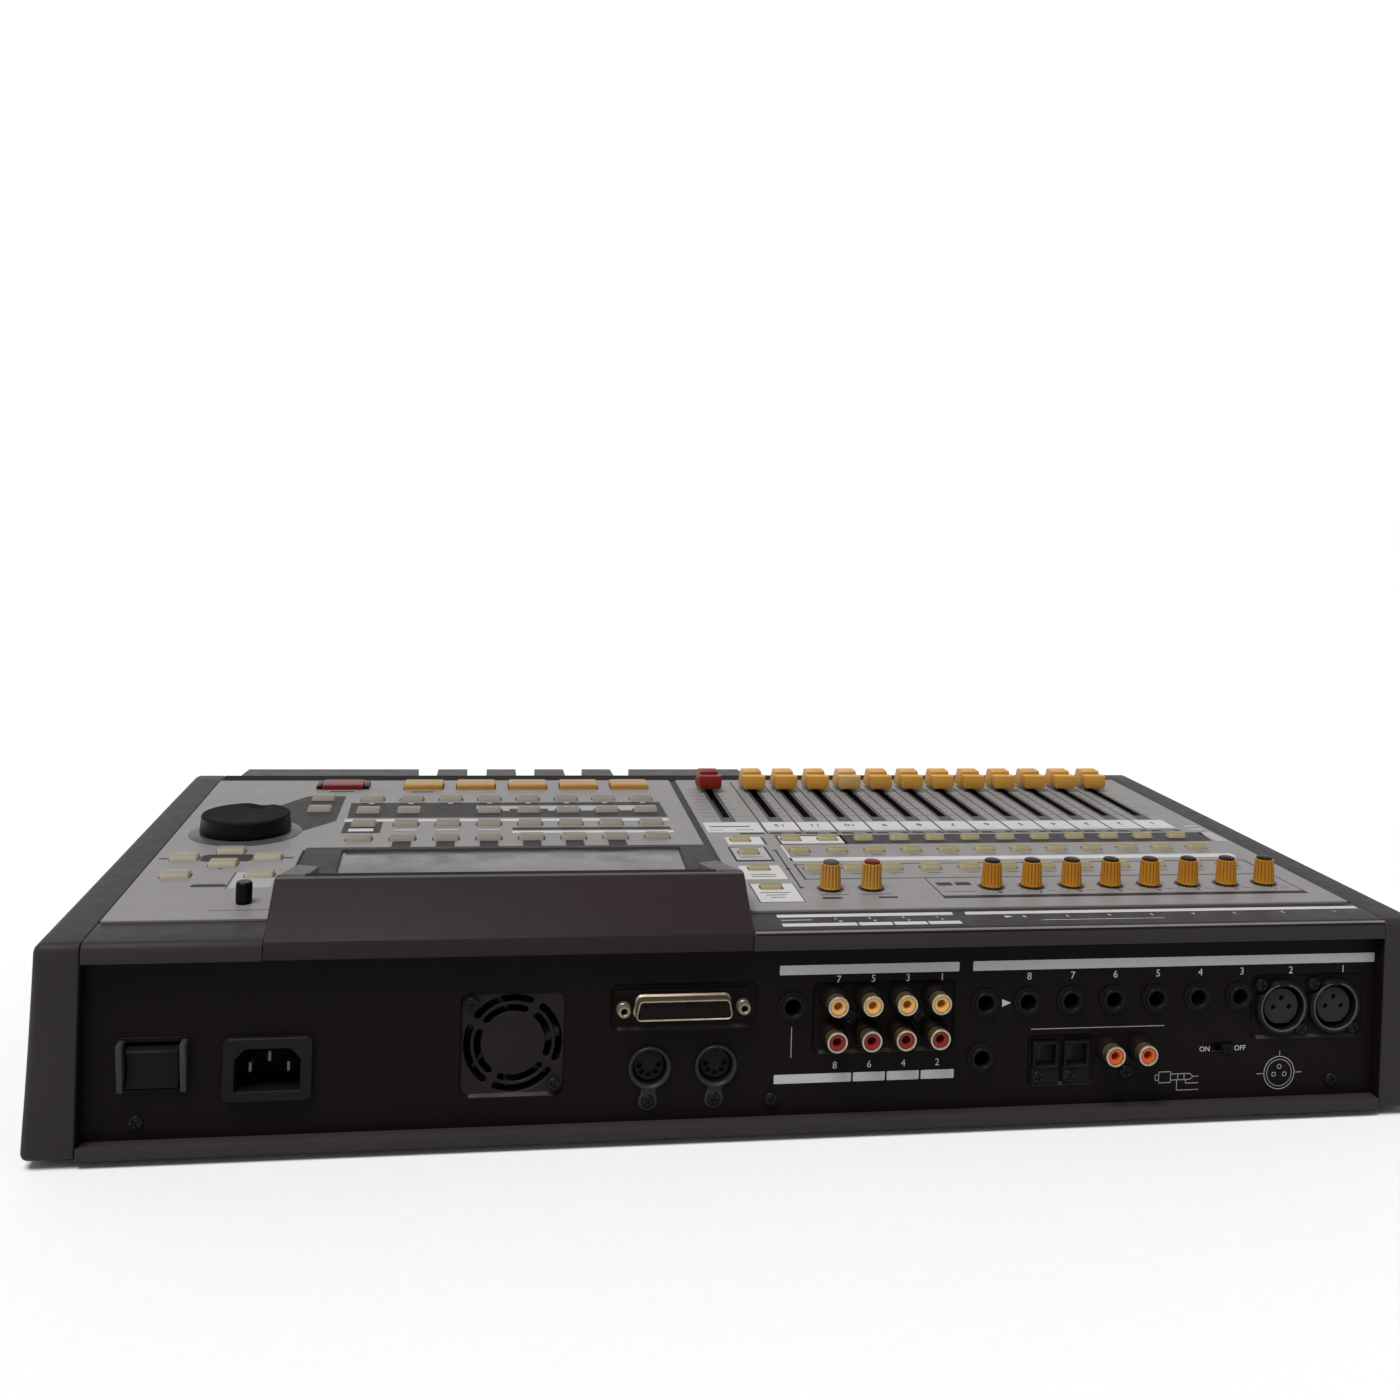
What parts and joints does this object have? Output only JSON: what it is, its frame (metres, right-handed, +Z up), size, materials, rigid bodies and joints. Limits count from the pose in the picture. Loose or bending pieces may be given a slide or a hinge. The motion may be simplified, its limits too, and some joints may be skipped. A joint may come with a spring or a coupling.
{
  "type": "digital multitrack recorder",
  "caption": "Desktop digital multitrack recorder: wide low console with fader and transport decks, jog dial, raised display moulding and a recessed rear connector panel.",
  "frame": {"origin": "on the table under the middle of the recorder", "axes": "+X towards the user's right, +Y towards the rear connector panel, +Z up"},
  "size_m": [0.556, 0.333, 0.0987],
  "materials": {
    "dark_plastic": "fine textured dark grey moulding",
    "tray_steel": "powder-coated steel",
    "light_panel": "satin warm light grey paint",
    "display_plastic": "fine textured brown-grey moulding",
    "window": "clear tinted acrylic",
    "lcd": "satin",
    "black_steel": "matt black paint",
    "black_plastic": "satin moulding",
    "shell_metal": "plated steel",
    "phono_metal": "plated brass",
    "board": "green solder mask",
    "supply": "board and components",
    "disk_alloy": "cast alloy",
    "pot_metal": "plated steel",
    "rubber": "matt",
    "screw_steel": "black oxide",
    "amber_plastic": "satin mustard",
    "red_plastic": "satin red",
    "soft_black": "matt black",
    "ivory_key": "translucent ivory"
  },
  "bodies": {
    "chassis": {"bottom_cover": "tray_steel", "left_cheek": "dark_plastic", "right_cheek": "dark_plastic", "top_frame": "dark_plastic", "transport_panel": "light_panel", "mixer_panel": "light_panel", "display_housing": "display_plastic", "display_window": "window", "lcd_module": "lcd", "rear_panel": "black_steel", "ac_inlet": "black_plastic", "switch_bodies": "black_plastic", "fan_frame": "black_plastic", "dsub_socket": "shell_metal", "din_sockets": "black_plastic", "phone_jacks": "black_plastic", "rca_sockets": "phono_metal", "optical_ports": "black_plastic", "xlr_sockets": "black_plastic", "circuit_boards": "board", "power_supply": "supply", "hard_disk": "disk_alloy", "potentiometers": "pot_metal", "feet": "rubber", "screws": "screw_steel"},
    "fader_1": {"fader_1": "amber_plastic"},
    "fader_2": {"fader_2": "amber_plastic"},
    "fader_3": {"fader_3": "amber_plastic"},
    "fader_4": {"fader_4": "amber_plastic"},
    "fader_5": {"fader_5": "amber_plastic"},
    "fader_6": {"fader_6": "amber_plastic"},
    "fader_7": {"fader_7": "amber_plastic"},
    "fader_8": {"fader_8": "amber_plastic"},
    "fader_9": {"fader_9": "amber_plastic"},
    "fader_10": {"fader_10": "amber_plastic"},
    "fader_11": {"fader_11": "amber_plastic"},
    "fader_12": {"fader_12": "amber_plastic"},
    "master_fader": {"master_fader": "red_plastic"},
    "sens_knob_1": {"sens_knob_1": "amber_plastic"},
    "sens_knob_2": {"sens_knob_2": "amber_plastic"},
    "sens_knob_3": {"sens_knob_3": "amber_plastic"},
    "sens_knob_4": {"sens_knob_4": "amber_plastic"},
    "sens_knob_5": {"sens_knob_5": "amber_plastic"},
    "sens_knob_6": {"sens_knob_6": "amber_plastic"},
    "sens_knob_7": {"sens_knob_7": "amber_plastic"},
    "sens_knob_8": {"sens_knob_8": "amber_plastic"},
    "monitor_knob": {"monitor_knob": "amber_plastic"},
    "phones_knob": {"phones_knob": "amber_plastic"},
    "contrast_knob": {"contrast_knob": "soft_black"},
    "jog_dial": {"jog_dial": "soft_black"},
    "fan_rotor": {"fan_rotor": "black_plastic"},
    "power_rocker": {"power_rocker": "black_plastic"},
    "phantom_slider": {"phantom_slider": "black_plastic"},
    "rec_key": {"rec_key": "red_plastic"},
    "transport_keys": {"transport_keys": "amber_plastic"},
    "locator_keys": {"locator_keys": "ivory_key"},
    "function_keys": {"function_keys": "ivory_key"},
    "cursor_keys": {"cursor_keys": "ivory_key"},
    "channel_keys": {"channel_keys": "ivory_key"},
    "monitor_keys": {"monitor_keys": "ivory_key"}
  },
  "joints": [
    {"name": "fader_1_slide", "type": "slide", "parent": "chassis", "child": "fader_1", "axis": [0, 1, 0], "range_m": [0, 0.06]},
    {"name": "fader_2_slide", "type": "slide", "parent": "chassis", "child": "fader_2", "axis": [0, 1, 0], "range_m": [0, 0.06]},
    {"name": "fader_3_slide", "type": "slide", "parent": "chassis", "child": "fader_3", "axis": [0, 1, 0], "range_m": [0, 0.06]},
    {"name": "fader_4_slide", "type": "slide", "parent": "chassis", "child": "fader_4", "axis": [0, 1, 0], "range_m": [0, 0.06]},
    {"name": "fader_5_slide", "type": "slide", "parent": "chassis", "child": "fader_5", "axis": [0, 1, 0], "range_m": [0, 0.06]},
    {"name": "fader_6_slide", "type": "slide", "parent": "chassis", "child": "fader_6", "axis": [0, 1, 0], "range_m": [0, 0.06]},
    {"name": "fader_7_slide", "type": "slide", "parent": "chassis", "child": "fader_7", "axis": [0, 1, 0], "range_m": [0, 0.06]},
    {"name": "fader_8_slide", "type": "slide", "parent": "chassis", "child": "fader_8", "axis": [0, 1, 0], "range_m": [0, 0.06]},
    {"name": "fader_9_slide", "type": "slide", "parent": "chassis", "child": "fader_9", "axis": [0, 1, 0], "range_m": [0, 0.06]},
    {"name": "fader_10_slide", "type": "slide", "parent": "chassis", "child": "fader_10", "axis": [0, 1, 0], "range_m": [0, 0.06]},
    {"name": "fader_11_slide", "type": "slide", "parent": "chassis", "child": "fader_11", "axis": [0, 1, 0], "range_m": [0, 0.06]},
    {"name": "fader_12_slide", "type": "slide", "parent": "chassis", "child": "fader_12", "axis": [0, 1, 0], "range_m": [0, 0.06]},
    {"name": "master_fader_slide", "type": "slide", "parent": "chassis", "child": "master_fader", "axis": [0, 1, 0], "range_m": [0, 0.06]},
    {"name": "sens_knob_1_turn", "type": "hinge", "parent": "chassis", "child": "sens_knob_1", "pos_m": [-0.105, 0.1115, 0.0835], "axis": [0, 0, 1], "range_deg": [-150, 150]},
    {"name": "sens_knob_2_turn", "type": "hinge", "parent": "chassis", "child": "sens_knob_2", "pos_m": [-0.12335, 0.1115, 0.0835], "axis": [0, 0, 1], "range_deg": [-150, 150]},
    {"name": "sens_knob_3_turn", "type": "hinge", "parent": "chassis", "child": "sens_knob_3", "pos_m": [-0.1417, 0.1115, 0.0835], "axis": [0, 0, 1], "range_deg": [-150, 150]},
    {"name": "sens_knob_4_turn", "type": "hinge", "parent": "chassis", "child": "sens_knob_4", "pos_m": [-0.16005, 0.1115, 0.0835], "axis": [0, 0, 1], "range_deg": [-150, 150]},
    {"name": "sens_knob_5_turn", "type": "hinge", "parent": "chassis", "child": "sens_knob_5", "pos_m": [-0.1784, 0.1115, 0.0835], "axis": [0, 0, 1], "range_deg": [-150, 150]},
    {"name": "sens_knob_6_turn", "type": "hinge", "parent": "chassis", "child": "sens_knob_6", "pos_m": [-0.19675, 0.1115, 0.0835], "axis": [0, 0, 1], "range_deg": [-150, 150]},
    {"name": "sens_knob_7_turn", "type": "hinge", "parent": "chassis", "child": "sens_knob_7", "pos_m": [-0.2151, 0.1115, 0.0835], "axis": [0, 0, 1], "range_deg": [-150, 150]},
    {"name": "sens_knob_8_turn", "type": "hinge", "parent": "chassis", "child": "sens_knob_8", "pos_m": [-0.23345, 0.1115, 0.0835], "axis": [0, 0, 1], "range_deg": [-150, 150]},
    {"name": "monitor_knob_turn", "type": "hinge", "parent": "chassis", "child": "monitor_knob", "pos_m": [-0.0325, 0.1115, 0.0835], "axis": [0, 0, 1], "range_deg": [-150, 150]},
    {"name": "phones_knob_turn", "type": "hinge", "parent": "chassis", "child": "phones_knob", "pos_m": [-0.05069, 0.1115, 0.0835], "axis": [0, 0, 1], "range_deg": [-150, 150]},
    {"name": "contrast_knob_turn", "type": "hinge", "parent": "chassis", "child": "contrast_knob", "pos_m": [0.209, 0.1197, 0.0835], "axis": [0, 0, 1], "range_deg": [-140, 140]},
    {"name": "jog_dial_spin", "type": "hinge", "parent": "chassis", "child": "jog_dial", "pos_m": [0.2265, 0.0095, 0.0835], "axis": [0, 0, 1], "continuous": true},
    {"name": "fan_rotor_spin", "type": "hinge", "parent": "chassis", "child": "fan_rotor", "pos_m": [0.102, 0.1454, 0.039], "axis": [0, 1, 0], "continuous": true},
    {"name": "power_rocker_tilt", "type": "hinge", "parent": "chassis", "child": "power_rocker", "pos_m": [0.2336, 0.152, 0.0352], "axis": [1, 0, 0], "range_deg": [0, 12]},
    {"name": "phantom_slider_slide", "type": "slide", "parent": "chassis", "child": "phantom_slider", "axis": [1, 0, 0], "range_m": [0, 0.0046]},
    {"name": "rec_key_press", "type": "slide", "parent": "chassis", "child": "rec_key", "axis": [0, 0, -1], "range_m": [0, 0.0012], "stiffness_N_per_m": 500, "springref_m": -0.002},
    {"name": "transport_keys_press", "type": "slide", "parent": "chassis", "child": "transport_keys", "axis": [0, 0, -1], "range_m": [0, 0.0012], "stiffness_N_per_m": 500, "springref_m": -0.002},
    {"name": "locator_keys_press", "type": "slide", "parent": "chassis", "child": "locator_keys", "axis": [0, 0, -1], "range_m": [0, 0.0012], "stiffness_N_per_m": 500, "springref_m": -0.002},
    {"name": "function_keys_press", "type": "slide", "parent": "chassis", "child": "function_keys", "axis": [0, 0, -1], "range_m": [0, 0.0012], "stiffness_N_per_m": 500, "springref_m": -0.002},
    {"name": "cursor_keys_press", "type": "slide", "parent": "chassis", "child": "cursor_keys", "axis": [0, 0, -1], "range_m": [0, 0.0012], "stiffness_N_per_m": 500, "springref_m": -0.002},
    {"name": "channel_keys_press", "type": "slide", "parent": "chassis", "child": "channel_keys", "axis": [0, 0, -1], "range_m": [0, 0.0012], "stiffness_N_per_m": 500, "springref_m": -0.002},
    {"name": "monitor_keys_press", "type": "slide", "parent": "chassis", "child": "monitor_keys", "axis": [0, 0, -1], "range_m": [0, 0.0012], "stiffness_N_per_m": 500, "springref_m": -0.002}
  ]
}
